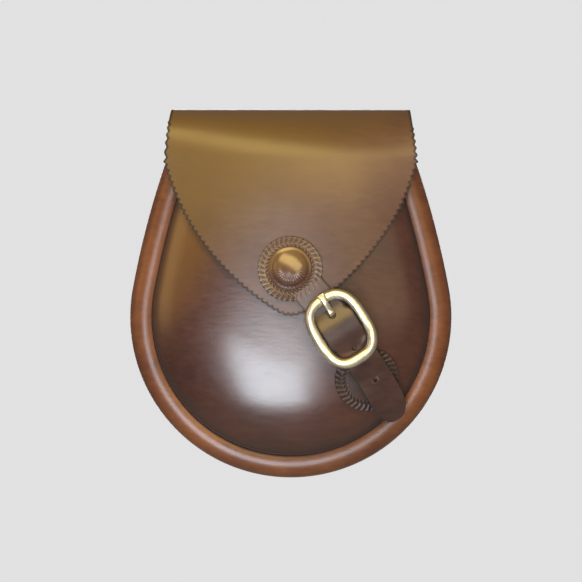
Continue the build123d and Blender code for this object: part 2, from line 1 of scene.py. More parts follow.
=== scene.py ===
from math import asin, atan2, cos, exp, hypot, pi, radians, sin, sqrt, tan
import bpy
import numpy as np
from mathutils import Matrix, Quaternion, Vector


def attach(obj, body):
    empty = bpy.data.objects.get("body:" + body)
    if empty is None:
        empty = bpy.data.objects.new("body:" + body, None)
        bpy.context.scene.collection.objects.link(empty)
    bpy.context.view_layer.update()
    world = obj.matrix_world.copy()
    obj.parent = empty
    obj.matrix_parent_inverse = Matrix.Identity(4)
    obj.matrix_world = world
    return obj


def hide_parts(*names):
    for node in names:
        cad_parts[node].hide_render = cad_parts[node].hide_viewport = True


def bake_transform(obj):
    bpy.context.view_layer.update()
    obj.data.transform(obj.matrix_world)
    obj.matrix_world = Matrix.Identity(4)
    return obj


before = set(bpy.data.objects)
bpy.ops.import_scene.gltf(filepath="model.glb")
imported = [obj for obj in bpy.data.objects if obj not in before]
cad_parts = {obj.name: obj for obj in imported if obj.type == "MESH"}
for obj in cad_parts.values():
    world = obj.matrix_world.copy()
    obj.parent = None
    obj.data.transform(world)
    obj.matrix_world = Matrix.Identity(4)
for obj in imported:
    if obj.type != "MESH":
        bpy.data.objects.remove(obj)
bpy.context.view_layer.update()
MM = 0.001

# -------------------------------- studio
# The pouch hangs by its belt loops before a pale paper sweep, seen square on. A cool
# window lamp stands low in front and a wide warm one high up, weaker ones to the left,
# to the right and by the camera draw the rim's lines, and one behind lights the back.
bpy.ops.object.select_all(action="DESELECT")
bpy.ops.object.camera_add(location=(0.0001, -2.6, -0.0567), rotation=(pi / 2, 0, 0))
camera = bpy.context.object
camera.name = "camera"
camera.data.lens = 275.6
camera.data.clip_start = 0.01
camera.data.clip_end = 50
bpy.context.scene.camera = camera
bpy.context.scene.view_settings.view_transform = "Standard"


def lamp(name, place, aim, size, watts, colour, roll=0.0):
    """Hangs a soft rectangular lamp at a place and turns it towards a point."""
    bpy.ops.object.light_add(type="AREA", location=place)
    soft = bpy.context.object
    soft.name = name
    soft.data.shape = "RECTANGLE"
    soft.data.size, soft.data.size_y = size
    soft.data.energy = watts
    soft.data.color = colour
    facing = (Vector(aim) - Vector(place)).to_track_quat("-Z", "Y")
    soft.rotation_euler = (facing @ Quaternion((0, 0, 1), radians(roll))).to_euler()
    soft.visible_camera = False


DAY = (1.0, 0.97, 0.93)
MIDDLE = (0, 0, -0.06)
BELLY = (0, -0.03, -0.06)
lamp("low_window_lamp", (-0.13, -1.0, -0.35), (0, -0.04, -0.1), (0.48, 0.56), 11, (0.85, 0.92, 1.0))
lamp("warm_top_lamp", (0.03, -1.0, 0.8), (0, -0.03, 0.02), (1.7, 0.56), 17.5, (1.0, 0.74, 0.28), -36)
lamp("warm_left_lamp", (-1.25, -0.5, 0.3), BELLY, (0.6, 0.9), 2, (1.0, 0.68, 0.3))
lamp("rear_fill", (0, 2.2, 0.1), MIDDLE, (1.0, 1.0), 28, DAY)
lamp("camera_lamp", (-0.12, -2.3, 0.32), MIDDLE, (0.16, 0.16), 1.2, DAY)
lamp("right_fill", (1.1, -1.3, 0.3), BELLY, (0.8, 0.8), 1.6, (1.0, 0.8, 0.55))


def feed(node, inputs):
    """Gives each input of a shader node its value, or the output that drives it."""
    for socket, value in inputs.items():
        if isinstance(value, bpy.types.NodeSocket):
            node.id_data.links.new(value, node.inputs[socket])
        else:
            node.inputs[socket].default_value = value


def add_node(tree, kind, inputs, **settings):
    """Adds a shader node with its settings and inputs, and hands back its outputs."""
    node = tree.nodes.new("ShaderNode" + kind)
    for key, value in settings.items():
        setattr(node, key, value)
    feed(node, inputs)
    return node.outputs


def end_tree(tree, output, real, bare, camera_share, shine_share):
    """Ends a tree in a real look, but lets the camera and reflections see shares of a bare one."""
    path = add_node(tree, "LightPath", {})
    shine = add_node(tree, "Math", {0: path["Is Glossy Ray"], 1: shine_share}, operation="MULTIPLY")
    inputs = {0: path["Is Camera Ray"], 1: camera_share, 2: shine["Value"]}
    seen = add_node(tree, "Math", inputs, operation="MULTIPLY_ADD")
    mix = add_node(tree, "MixShader", {"Fac": seen["Value"], 1: real[0], 2: bare[0]})
    feed(tree.nodes[output], {"Surface": mix[0]})


def new_material(name):
    """A fresh material, its node tree and its shader."""
    material = bpy.data.materials.new(name)
    material.use_nodes = True
    return material, material.node_tree, material.node_tree.nodes["Principled BSDF"]


world = bpy.data.worlds.new("room")
world.use_nodes = True
bpy.context.scene.world = world
room = world.node_tree
low_fill = room.nodes["Background"]
feed(low_fill, {"Color": (*DAY, 1), "Strength": 0.15})
pale = add_node(room, "Background", {"Color": (0.76, 0.76, 0.76, 1)})
end_tree(room, "World Output", low_fill.outputs, pale, 1.0, 0.09)

paper, paper_tree, matt = new_material("pale_paper")
feed(matt, {"Base Color": (0.32, 0.32, 0.32, 1), "Roughness": 0.9, "Specular IOR Level": 0.1})
glow = add_node(paper_tree, "Emission", {"Color": (0.8, 0.8, 0.8, 1)})
end_tree(paper_tree, "Material Output", matt.outputs, glow, 0.94, 0.1)


def pick(piece, *others):
    """Selects a piece, and others with it, and makes it the active one."""
    bpy.ops.object.select_all(action="DESELECT")
    for chosen in (piece, *others):
        chosen.select_set(True)
    bpy.context.view_layer.objects.active = piece


def apply_modifier(piece, kind, **settings):
    """Adds a modifier to a piece, sets it and applies it."""
    pick(piece)
    bpy.ops.object.modifier_add(type=kind)
    modifier = piece.modifiers[-1]
    for key, value in settings.items():
        setattr(modifier, key, value)
    bpy.ops.object.modifier_apply(modifier=modifier.name)


bpy.ops.mesh.primitive_plane_add(size=6, location=(0, 2.4, -0.72))
sweep = bpy.context.object
sweep.name = "paper_sweep"
bpy.ops.object.mode_set(mode="EDIT")
bpy.ops.mesh.select_all(action="DESELECT")
bpy.ops.object.mode_set(mode="OBJECT")
for edge in sweep.data.edges:
    edge.select = all(sweep.data.vertices[v].co.y > 0 for v in edge.vertices)
bpy.ops.object.mode_set(mode="EDIT")
bpy.ops.mesh.extrude_region_move(TRANSFORM_OT_translate={"value": (0, 0, 4)})
bpy.ops.object.mode_set(mode="OBJECT")
bpy.ops.object.transform_apply(location=True, rotation=True, scale=True)
apply_modifier(sweep, "BEVEL", width=0.8, segments=12)
bpy.ops.object.shade_smooth()
sweep.data.materials.append(paper)

# -------------------------------- moulded front
# The front is heavy bridle leather, wetted and pressed over a former into one even
# swelling. Its edge is turned in behind the rim, where the two are sewn together.
BAG_WIDTH = 186.6
BAG_TOP = 48.0
BAG_FOOT = BAG_TOP - 213.0
MOUTH = BAG_TOP - 24.0
LOW_CENTRE = BAG_FOOT + BAG_WIDTH / 2
FULLEST = BAG_FOOT + 70.0
SIDE_RADIUS = 516.0
SIDE_START = radians(10.5)
SIDE_X = -(SIDE_RADIUS - BAG_WIDTH / 2) * cos(SIDE_START)
SIDE_Z = LOW_CENTRE - (SIDE_RADIUS - BAG_WIDTH / 2) * sin(SIDE_START)
SEAM_INSET = 13.0
SEAM_DEPTH = 19.5
FRONT_WALL = 2.5
SEAM_LIP = 8.0
SWELL = 22.5
SWELL_FULLNESS = 2.2
SWELL_STEEPNESS = 0.625


def mouth_curve(inset):
    """Height of the middle and radius of the curve that closes the outline above."""
    radius = SIDE_RADIUS - inset
    lean = asin((MOUTH - SIDE_Z) / radius)
    half_width = SIDE_X + radius * cos(lean)
    return MOUTH - half_width * tan(lean), half_width / cos(lean)


def seam_reach(across, up, inset):
    """Distance from the fullest point out to the seam in one direction."""
    low_radius = BAG_WIDTH / 2 - inset
    top_centre, top_radius = mouth_curve(inset)
    for centre_x, centre_z, radius, limit in (
        (0, LOW_CENTRE, low_radius, LOW_CENTRE + low_radius * sin(SIDE_START)),
        (SIDE_X, SIDE_Z, SIDE_RADIUS - inset, MOUTH),
        (0, top_centre, top_radius, 2 * BAG_TOP),
    ):
        along = up * (FULLEST - centre_z) - abs(across) * centre_x
        reach = -along + sqrt(along**2 - centre_x**2 - (FULLEST - centre_z) ** 2 + radius**2)
        if FULLEST + up * reach < limit:
            break
    return reach


def swelling(share, height):
    """Rise of the moulded front at a share of the way from its middle to its seam."""
    return height * max(0.0, 1 - share**SWELL_FULLNESS) ** SWELL_STEEPNESS


def front_rise(x, z):
    """How far the moulded front stands forward of its seam."""
    out = hypot(x, z - FULLEST)
    if out < 1e-6:
        return SWELL
    return swelling(out / seam_reach(x / out, (z - FULLEST) / out, SEAM_INSET), SWELL)


def edit_whole(piece, operator, **settings):
    """Runs an edit-mode operator on the whole mesh of a piece."""
    pick(piece)
    bpy.ops.object.mode_set(mode="EDIT")
    bpy.ops.mesh.select_all(action="SELECT")
    operator(**settings)
    bpy.ops.object.mode_set(mode="OBJECT")


def laid_sheet(name, columns, rows, place, marks=None):
    """Adds a grid of faces, moves each corner to place(u, v) in mm and closes what meets.

    marks gives each corner's height above dark dye in cuts and stamps and painted shade.
    """
    bpy.ops.mesh.primitive_grid_add(x_subdivisions=columns, y_subdivisions=rows, size=2)
    piece = bpy.context.object
    piece.name = name
    if marks:
        heights = piece.data.attributes.new("dark_dye_and_shade", "FLOAT", "POINT")
        for point, height in zip(piece.data.vertices, heights.data):
            height.value = marks((point.co.x + 1) / 2, (point.co.y + 1) / 2)
    for point in piece.data.vertices:
        point.co = Vector(place((point.co.x + 1) / 2, (point.co.y + 1) / 2)) * MM
    edit_whole(piece, bpy.ops.mesh.remove_doubles, threshold=1e-6)
    bpy.ops.object.shade_smooth()
    return piece


def smooth_below(piece, angle):
    """Shades a piece smooth, but for edges sharper than an angle in degrees."""
    pick(piece)
    bpy.ops.object.shade_smooth_by_angle(angle=radians(angle))


def recalculate(piece):
    """Points the faces of a closed piece outwards."""
    edit_whole(piece, bpy.ops.mesh.normals_make_consistent, inside=False)


def face_out(piece, spot, way):
    """Turns an open sheet so that the face nearest a point in mm looks along a direction."""
    nearest = min(piece.data.polygons, key=lambda face: (face.center - Vector(spot) * MM).length)
    if nearest.normal.dot(Vector(way)) < 0:
        edit_whole(piece, bpy.ops.mesh.flip_normals)


def noise(tree, place, scale, detail, roughness=0.5):
    """A noise texture's factor at a place."""
    inputs = {"Vector": place, "Scale": scale, "Detail": detail, "Roughness": roughness}
    return add_node(tree, "TexNoise", inputs)["Fac"]


def colour_ramp(tree, factor, first, last):
    """Colours along a factor, from one (position, colour) to the other."""
    ramp = tree.nodes.new("ShaderNodeValToRGB")
    for stop, (position, colour) in zip(ramp.color_ramp.elements, (first, last)):
        stop.position, stop.color = position, (*colour, 1)
    feed(ramp, {"Fac": factor})
    return ramp.outputs["Color"]


def painted_over(tree, share, under, colour):
    """A colour laid over what is under it, by a share from 0 to 1."""
    return add_node(tree, "Mix", {0: share, 6: under, 7: (*colour, 1)}, data_type="RGBA")[2]


def leather_material(
    name, dark, light, roughness, grain=0.06, coat=0.35, cloud=18, painted_sheen=None, dark_dye_and_shade=False
):
    """Dyed and waxed leather: clouded colour, fine pores, soft unevenness, a thin coat.

    A painted warm sheen may be given: a second colour, the way in which the dye fades to it,
    and from where to where along that way, in mm. Leather with the dark marks keeps dark dye in
    its cuts and stamps and painted shade in its crevices.
    """
    hide, tree, shade = new_material(name)
    place = add_node(tree, "TexCoord", {})["Object"]
    clouds = noise(tree, place, cloud, 4, 0.6)
    pores = noise(tree, place, 1400, 3)
    drawn_out = add_node(tree, "Mapping", {"Vector": place, "Scale": (0.45, 1, 1.5)})["Vector"]
    fibres = noise(tree, drawn_out, 260, 5)
    mottle = add_node(tree, "Math", {0: fibres, 1: 0.45, 2: clouds}, operation="MULTIPLY_ADD")
    dye_and_painted_light = colour_ramp(tree, mottle["Value"], (0.52, dark), (0.92, light))
    gloss_range = {"Value": fibres, "To Min": roughness - 0.06, "To Max": roughness + 0.08}
    gloss = add_node(tree, "MapRange", gloss_range)["Result"]
    # Painted warm sheen: the colour fades to a lighter one along a way across the piece.
    if painted_sheen:
        colour, way, start, end = painted_sheen
        slope = {0: place, 1: Vector(way).normalized()}
        along = add_node(tree, "VectorMath", slope, operation="DOT_PRODUCT")["Value"]
        uneven = add_node(tree, "Math", {0: clouds, 1: 0.03, 2: along}, operation="MULTIPLY_ADD")["Value"]
        reach = {"Value": uneven, "From Min": start * MM + 0.015, "From Max": end * MM + 0.015}
        sheen_share = add_node(tree, "MapRange", reach, interpolation_type="SMOOTHSTEP")["Result"]
        dye_and_painted_light = painted_over(tree, sheen_share, dye_and_painted_light, colour)
    # Dark dye in cuts and stamps, and painted shade in crevices and along the flap's edge, darken the
    # colour and dull the gloss.
    if dark_dye_and_shade:
        height = add_node(tree, "Attribute", {}, attribute_name="dark_dye_and_shade")["Fac"]
        reach = {"Value": height, "From Min": 0.35, "From Max": 1.0, "To Min": 0.85, "To Max": 0.0}
        dye_and_shade_share = add_node(tree, "MapRange", reach, interpolation_type="SMOOTHSTEP")["Result"]
        dye_and_painted_light = painted_over(tree, dye_and_shade_share, dye_and_painted_light, (0.018, 0.007, 0.005))
        dulled = {0: dye_and_shade_share, 1: 0.5, 2: gloss}
        gloss = add_node(tree, "Math", dulled, operation="MULTIPLY_ADD", use_clamp=True)["Value"]
    fine = {"Height": pores, "Strength": grain, "Distance": 0.0003}
    broad = {"Height": fibres, "Strength": grain, "Distance": 0.001}
    broad["Normal"] = add_node(tree, "Bump", fine)["Normal"]
    feed(shade, {
        "Base Color": dye_and_painted_light, "Roughness": gloss, "Normal": add_node(tree, "Bump", broad)["Normal"],
        "Coat Weight": coat, "Coat Roughness": 0.7 * roughness, "Specular IOR Level": 0.5,
    })
    return hide


# The front's colour carries a painted warm sheen that lightens it towards the upper left.
dark_bridle = leather_material(
    "dark_bridle_leather", (0.036, 0.011, 0.0065), (0.07, 0.023, 0.0135), 0.3, grain=0.1, coat=0.7,
    painted_sheen=((0.128, 0.057, 0.013), (-0.75, 0, 0.66), -14, 34), dark_dye_and_shade=True,
)
SKIN_RINGS = 72
LINING_RINGS = 24
LINING_SHARE = 0.93
LIP_DEPTH = 0.4
FRONT_COLUMNS = 288
CREVICE_SHADE = 0.1
CLEAR_OF_SHADE = 1.2
outer_rings = [("skin", 1 - (1 - n / SKIN_RINGS) ** 2) for n in range(1, SKIN_RINGS + 1)]
turned_edge = ((0, FRONT_WALL), (SEAM_LIP, FRONT_WALL), (SEAM_LIP, LIP_DEPTH))
inner_rings = [("lining", LINING_SHARE * (1 - n / LINING_RINGS)) for n in range(LINING_RINGS)]
front_rings = outer_rings + [("edge", corner) for corner in turned_edge] + inner_rings
centre_skin = (0, -(SEAM_DEPTH + SWELL), FULLEST)
centre_lining = (0, -(SEAM_DEPTH + SWELL - FRONT_WALL), FULLEST)


def front_place(u, v):
    """A corner of the front: around the bag by u, over the skin and back inside by v."""
    step = round(v * (len(front_rings) + 1))
    if step == 0:
        return centre_skin
    if step == len(front_rings) + 1:
        return centre_lining
    kind, value = front_rings[step - 1]
    across, up = sin(2 * pi * u), cos(2 * pi * u)
    if kind == "skin":
        reach = seam_reach(across, up, SEAM_INSET) * value
        depth = SEAM_DEPTH + swelling(value, SWELL)
    elif kind == "edge":
        reach = seam_reach(across, up, SEAM_INSET + value[0])
        depth = SEAM_DEPTH - value[1]
    else:
        reach = seam_reach(across, up, SEAM_INSET + FRONT_WALL) * value
        depth = SEAM_DEPTH + swelling(value, SWELL - FRONT_WALL)
    return (across * reach, -depth, FULLEST + up * reach)


def front_crevice_shade(u, v):
    """Painted shade: the front's colour is darkest in the crevice beside the rim."""
    step = round(v * (len(front_rings) + 1))
    if step == 0 or step > SKIN_RINGS:
        return CLEAR_OF_SHADE
    value = front_rings[step - 1][1]
    reach = seam_reach(sin(2 * pi * u), cos(2 * pi * u), SEAM_INSET)
    return 0.4 + CREVICE_SHADE * (1 - value) * reach


front = laid_sheet("moulded_front", FRONT_COLUMNS, len(front_rings) + 1, front_place, front_crevice_shade)
edit_whole(
    front, bpy.ops.mesh.bisect, plane_co=(0, 0, MOUTH * MM), plane_no=(0, 0, 1), clear_outer=True,
    use_fill=True,
)
recalculate(front)
smooth_below(front, 35)
front.data.materials.append(dark_bridle)
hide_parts("front_panel")
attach(front, "pouch")

# -------------------------------- rolled rim
# The gusset is a strip of tan leather rolled into a thick welt round the bag. Its
# lips are turned inwards, one sewn to the front's edge and one to the back panel.
ROLL_RADIUS = 8.7
ROLL_WALL = 2.0
ROLL_STEPS = 40
RIM_STEPS = 320
BACK_LEATHER = 3.0
tan_leather = leather_material(
    "tan_leather", (0.094, 0.029, 0.0115), (0.18, 0.062, 0.021), 0.36, coat=0.1, cloud=26, dark_dye_and_shade=True
)
roll_middle = BACK_LEATHER + ROLL_RADIUS
lip_in = SEAM_INSET - ROLL_RADIUS - 0.15
lip_turn = sqrt(ROLL_RADIUS**2 - lip_in**2)
lip_end = lip_in + SEAM_LIP
lip_front = roll_middle - SEAM_DEPTH + FRONT_WALL


def round_the_rim(u, inset):
    """A point of the bag's outline, its way out of the bag, from mouth to mouth by u."""
    side_turn = asin((MOUTH - SIDE_Z) / (SIDE_RADIUS - ROLL_RADIUS)) - SIDE_START
    side_length = side_turn * SIDE_RADIUS
    low_length = (pi + 2 * SIDE_START) * BAG_WIDTH / 2
    along = u * (2 * side_length + low_length)
    if along < side_length:
        angle = pi - SIDE_START - (side_length - along) / SIDE_RADIUS
        centre, radius = (-SIDE_X, SIDE_Z), SIDE_RADIUS - inset
    elif along < side_length + low_length:
        angle = pi - SIDE_START + (along - side_length) / (BAG_WIDTH / 2)
        centre, radius = (0, LOW_CENTRE), BAG_WIDTH / 2 - inset
    else:
        angle = SIDE_START + (along - side_length - low_length) / SIDE_RADIUS
        centre, radius = (SIDE_X, SIDE_Z), SIDE_RADIUS - inset
    return centre[0] + radius * cos(angle), centre[1] + radius * sin(angle), cos(angle), sin(angle)


def roll_walls():
    """The rim's wall from lip to lip, as pairs of (back, inwards) points outside and inside."""
    turn_in = atan2(lip_in, -lip_turn)
    small = ROLL_RADIUS - ROLL_WALL
    walls = [((ROLL_RADIUS, lip_end * n / 3), (small, lip_end * n / 3)) for n in (3, 2, 1)]
    for n in range(ROLL_STEPS + 1):
        angle = -(2 * pi - turn_in) * n / ROLL_STEPS
        walls.append(tuple((radius * cos(angle), radius * sin(angle)) for radius in (ROLL_RADIUS, small)))
    walls.append(((-lip_front, lip_in), (ROLL_WALL - lip_front, 0.8 * lip_in)))
    walls.append(((-lip_front, lip_end), (ROLL_WALL - lip_front, lip_end)))
    return walls


walls = roll_walls()
section = [outside for outside, _ in walls] + [inside for _, inside in reversed(walls)] + [walls[0][0]]


def roll_place(u, v):
    """A corner of the rim: along the bag's outline by u, round the section by v."""
    step, row = round(u * (RIM_STEPS + 2)), round(v * (len(section) - 1))
    back, inwards = section[row]
    if step in (0, RIM_STEPS + 2):
        wall = walls[min(row, 2 * len(walls) - 1 - row) % len(walls)]
        back, inwards = [(a + b) / 2 for a, b in zip(*wall)]
    part = min(max(step - 1, 0), RIM_STEPS) / RIM_STEPS
    x, z, out_x, out_z = round_the_rim(part, ROLL_RADIUS)
    return (x - out_x * inwards, -roll_middle + back, z - out_z * inwards)


def roll_crevice_shade(u, v):
    """Painted shade: the roll's colour is darkest where it turns in to the seam."""
    inwards = section[round(v * (len(section) - 1))][1]
    return CLEAR_OF_SHADE - 0.85 * min(1.0, max(0.0, (inwards - 3.0) / (lip_in - 3.0)))


rim = laid_sheet("rolled_rim", RIM_STEPS + 2, len(section) - 1, roll_place, roll_crevice_shade)
recalculate(rim)
smooth_below(rim, 40)
rim.data.materials.append(tan_leather)
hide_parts("gusset")
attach(rim, "pouch")

# -------------------------------- back and flap
# One hide makes the flat back and the flap: it is sewn to the rim round the back,
# creased along the top, and its free edges are cut with a scalloped pinking punch.
CREASE_WIDTH = 139.0
BACK_INSET = 4.0
WING = (72.4, 18.0)
FLAP_TIP = BAG_TOP - 118.8
TIP_HALF = 8.0
TIP_SAG = 2.5
TIP_CORNER = (TIP_HALF, FLAP_TIP + TIP_SAG)
FLAP_SAG = 10.3
SHOULDER = 19.0
SHOULDER_SHARE = 0.93
SHOULDER_X = 66
SHOULDER_ROWS, FOLD_ROWS = 40, 8
CREASE_Z = BAG_TOP - BACK_LEATHER + 1.1
BEND_DROP, BEND_TILT = 7, 9
LID_DEPTH, LID_LIFT = 14, 0.4
BACK_START = BAG_TOP - BACK_LEATHER - 1.6
RIDGE = BACK_LEATHER + 2 * ROLL_RADIUS - SEAM_DEPTH
LAY_SOFT = 4.0
LAY_STEP = 2.0
BODY_GAP = 0.3
TAUT_ABOVE = ((-32, 0.0), (0, 1.0))
PINK_PITCH = 3.6
PINK_DEPTH = 0.72
PINK_END = BAG_TOP - 12
PINK_STEP = 0.4
HIDE_COLUMNS = 56
HIDE_EDGE_DYE_AND_SHADE = 0.5
flesh_side = leather_material(
    "flesh_side", (0.3, 0.19, 0.1), (0.4, 0.27, 0.16), 0.85, grain=0.5, coat=0.0, cloud=30
)
cut_edge = leather_material(
    "burnished_edge", (0.02, 0.009, 0.006), (0.036, 0.016, 0.01), 0.7, grain=0.2, coat=0.0
)
# The flap's colour carries a painted warm sheen that lightens it towards the upper left.
flap_leather = leather_material(
    "flap_leather", (0.066, 0.029, 0.0195), (0.112, 0.052, 0.034), 0.4, grain=0.09, coat=0.3,
    painted_sheen=((0.13, 0.073, 0.017), (-0.6, 0, 0.8), -32, 38), dark_dye_and_shade=True,
)


def lay_rise(x, z):
    """Rise of leather that lies over the front and the rolled rim together."""
    front_here = front_rise(x, z)
    return (front_here + RIDGE + sqrt((front_here - RIDGE) ** 2 + LAY_SOFT**2)) / 2


def eased(along, stations):
    """Eases from one station's value to the next."""
    for (start, first), (end, last) in zip(stations, stations[1:]):
        if along <= end:
            part = max(0.0, (along - start) / (end - start))
            return first + (last - first) * part * part * (3 - 2 * part)
    return stations[-1][1]


def softened(heights, rounds):
    """A row of heights evened out between its ends."""
    heights = heights.copy()
    for _ in range(rounds):
        heights[1:-1] = (heights[:-2] + 2 * heights[1:-1] + heights[2:]) / 4
    return heights


def taut_over(ground, places):
    """Heights at places of a strip drawn taut over ground, a row of (place, height)."""
    bridge = []
    for place, height in ground:
        while len(bridge) > 1:
            (start, low), (end, high) = bridge[-2:]
            if (high - low) * (place - start) > (height - low) * (end - start):
                break
            bridge.pop()
        bridge.append((place, height))
    return np.interp(places, *zip(*bridge))


STRIPS = 13
STRIP_START = -WING[0] - 3
STRIP_STEP = (2 * WING[0] + 6) / (STRIPS - 1)
STRIP_X = [STRIP_START + n * STRIP_STEP for n in range(STRIPS)]
BEND = np.linalg.inv((np.eye(STRIPS - 2, k=-1) + 4 * np.eye(STRIPS - 2) + np.eye(STRIPS - 2, k=1)) / 6)
stretched = {}


def stretched_over(z):
    """Heights of the strips at a level, bridging from the front's swelling to the rim."""
    if z not in stretched:
        ground = [(n * LAY_STEP, lay_rise(n * LAY_STEP, z)) for n in range(39)]
        taut = taut_over(ground, [abs(x) for x in STRIP_X])
        soft = softened(taut, 2)
        soft += max(taut - soft)
        stretched[z] = taut + (soft - taut) * eased(z, TAUT_ABOVE)
    return stretched[z]


def bent_over(x, heights):
    """Height at x of a springy strip that passes through the heights of the strips."""
    second = BEND @ (heights[:-2] - 2 * heights[1:-1] + heights[2:])
    second = np.concatenate(([0], second, [0]))
    n = min(max(int((x - STRIP_START) / STRIP_STEP), 0), len(heights) - 2)
    right = (x - STRIP_START) / STRIP_STEP - n
    left = 1 - right
    return (
        left * heights[n] + right * heights[n + 1]
        + ((left**3 - left) * second[n] + (right**3 - right) * second[n + 1]) / 6
    )


def flap_under(x, z):
    """A point under the flap, which bends over the front like one springy sheet."""
    return Vector((x, -(SEAM_DEPTH + bent_over(x, stretched_over(z)) + BODY_GAP), z))


def shoulder_under(x, part):
    """The same where the flap turns over to the crease, by part from 0 to 1."""
    low = flap_under(x, SHOULDER)
    lean = low.y - flap_under(x, SHOULDER - 1).y
    high_z = CREASE_Z - BEND_DROP - BEND_TILT * eased(x, ((-62, 0.0), (70, 1.0)))
    bend = Vector((x, low.y + lean * (high_z - SHOULDER), high_z))
    lid = Vector((x, -LID_DEPTH, CREASE_Z + LID_LIFT))
    crease = Vector((x, 0, CREASE_Z))
    left = 1 - part
    return low * left**3 + bend * 3 * left**2 * part + lid * 3 * left * part**2 + crease * part**3


def rounded(start, corner, end, part):
    """A point on the curve that rounds a corner off, by part from 0 to 1."""
    return start * (1 - part) ** 2 + corner * 2 * part * (1 - part) + end * part**2


def crease_under(x, part):
    """The inside of the crease, from the shoulder at 0 to the back panel at 1."""
    start = shoulder_under(x, SHOULDER_SHARE)
    corner = Vector((x, -BACK_LEATHER, start.z + 0.1))
    return rounded(start, corner, Vector((x, -BACK_LEATHER, BACK_START)), part)


def back_under(x, z):
    """A point of the flat back's inner face."""
    return Vector((x, -BACK_LEATHER, z))


def arc_between(start, end, sag, part):
    """A point of a shallow arc from start to end, its way back towards them, and its length."""
    start, end = complex(*start), complex(*end)
    chord = abs(end - start)
    radius = chord**2 / (8 * sag) + sag / 2
    half = asin(chord / 2 / radius)
    turn = (2 * part - 1) * half
    way = (end - start) / chord
    point = (start + end) / 2 + way * complex(radius * sin(turn), radius * cos(turn) - radius + sag)
    back = -way * complex(sin(turn), cos(turn))
    return (point.real, point.imag), (back.real, back.imag), 2 * half * radius


def pinked(length, point, normal):
    """Moves a point of the edge in or out, as the punch left it at a length along it."""
    wave = abs(sin(pi * (length + PINK_PITCH / 2) / PINK_PITCH)) - 0.6
    return (point[0] + normal[0] * wave * PINK_DEPTH * 2, point[1] + normal[1] * wave * PINK_DEPTH * 2)


def flap_rows():
    """The rows of the hide from the flap's tip to the foot of the back.

    Each is the function that lays it, then the right-hand edge as (x, height or share) and
    the middle's height or share.
    """
    rows = []
    tip_middle = FLAP_TIP + 10
    tip = ((-TIP_HALF, TIP_CORNER[1]), (TIP_HALF, TIP_CORNER[1]), -TIP_SAG)
    side = (TIP_CORNER, WING, -FLAP_SAG)
    tip_length = arc_between(*tip, 0)[2]
    steps = round(tip_length / 2 / PINK_STEP)
    for n in range(steps):
        point, normal, _ = arc_between(*tip, 0.5 + n / steps / 2)
        edge = pinked(n / steps * tip_length / 2, point, normal)
        rows.append((flap_under, edge, tip_middle - 3 * (1 - n / steps)))
    side_length = arc_between(*side, 0)[2]
    steps = round(side_length / PINK_STEP)
    for n in range(steps):
        point, normal, _ = arc_between(*side, n / steps)
        edge = pinked(tip_length / 2 + side_length * n / steps, point, normal)
        rows.append((flap_under, edge, tip_middle + (WING[1] - tip_middle) * (n / steps) ** 0.85))
    start = tip_length / 2 + side_length
    rows.append((flap_under, pinked(start, WING, (1, 0)), WING[1]))
    for n in range(1, SHOULDER_ROWS + 1):
        share = n / SHOULDER_ROWS * SHOULDER_SHARE
        z = shoulder_under(SHOULDER_X, share).z
        up = (z + BACK_LEATHER * share - WING[1]) / (BAG_TOP - WING[1])
        x = WING[0] + (CREASE_WIDTH / 2 - WING[0]) * up
        if z < PINK_END:
            x = pinked(start + z - WING[1], (x, z), (1, 0))[0]
        rows.append((shoulder_under, (x, share), share))
    for n in range(1, FOLD_ROWS + 1):
        rows.append((crease_under, (CREASE_WIDTH / 2, n / FOLD_ROWS), n / FOLD_ROWS))
    radius = SIDE_RADIUS - BACK_INSET
    mouth_x = SIDE_X + radius * cos(asin((MOUTH - SIDE_Z) / radius))
    for n in range(1, FOLD_ROWS + 1):
        z = BACK_START - n / FOLD_ROWS * (BACK_START - MOUTH)
        x = CREASE_WIDTH / 2 + (mouth_x - CREASE_WIDTH / 2) * n / FOLD_ROWS
        rows.append((back_under, (x, z), z))
    for n in range(3, RIM_STEPS // 2 + 1):
        x, z, _, _ = round_the_rim(1 - n / RIM_STEPS, BACK_INSET)
        middle = MOUTH + (BAG_FOOT + BACK_INSET - MOUTH) * (2 * n / RIM_STEPS) ** 0.8
        rows.append((back_under, (max(x, 0.0), z), middle))
    return rows


hide_rows = flap_rows()


def hide_edge_dye_and_shade(u, v):
    """How far a corner is from the hide's cut edge, along which edge dye and painted shadow darken it."""
    under, edge, middle = hide_rows[round(v * (len(hide_rows) - 1))]
    drop = edge[1] - middle if under is flap_under else 0
    return HIDE_EDGE_DYE_AND_SHADE * (1 - abs(2 * u - 1)) * hypot(edge[0], drop)


def hide_place(u, v):
    """A corner of the hide's inner face."""
    under, edge, middle = hide_rows[round(v * (len(hide_rows) - 1))]
    return under(edge[0] * (2 * u - 1), middle + (edge[1] - middle) * abs(2 * u - 1))


def thicken(piece, skin, thickness, offset=1):
    """Gives a sheet its thickness in mm, its skin, its flesh side and a burnished edge."""
    for leather in (skin, flesh_side, cut_edge):
        piece.data.materials.append(leather)
    layers = {"material_offset": 1, "material_offset_rim": 2}
    apply_modifier(piece, "SOLIDIFY", thickness=thickness * MM, offset=offset, **layers)


hide = laid_sheet("back_and_flap", HIDE_COLUMNS, len(hide_rows) - 1, hide_place, hide_edge_dye_and_shade)
face_out(hide, (0, -40, -20), (0, -1, 0))
thicken(hide, flap_leather, BACK_LEATHER)
smooth_below(hide, 50)
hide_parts("back_panel", "flap")
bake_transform(hide)

THREAD_INSET = BACK_INSET + 4.5
THREAD_THICK, THREAD_WIDE = 0.5, 0.68
THREAD_ENDS = 0.004
STITCHES = 136
STITCH_SEAT, STITCH_RISE = 0.12, 0.4
STITCH_LEAN = 0.35


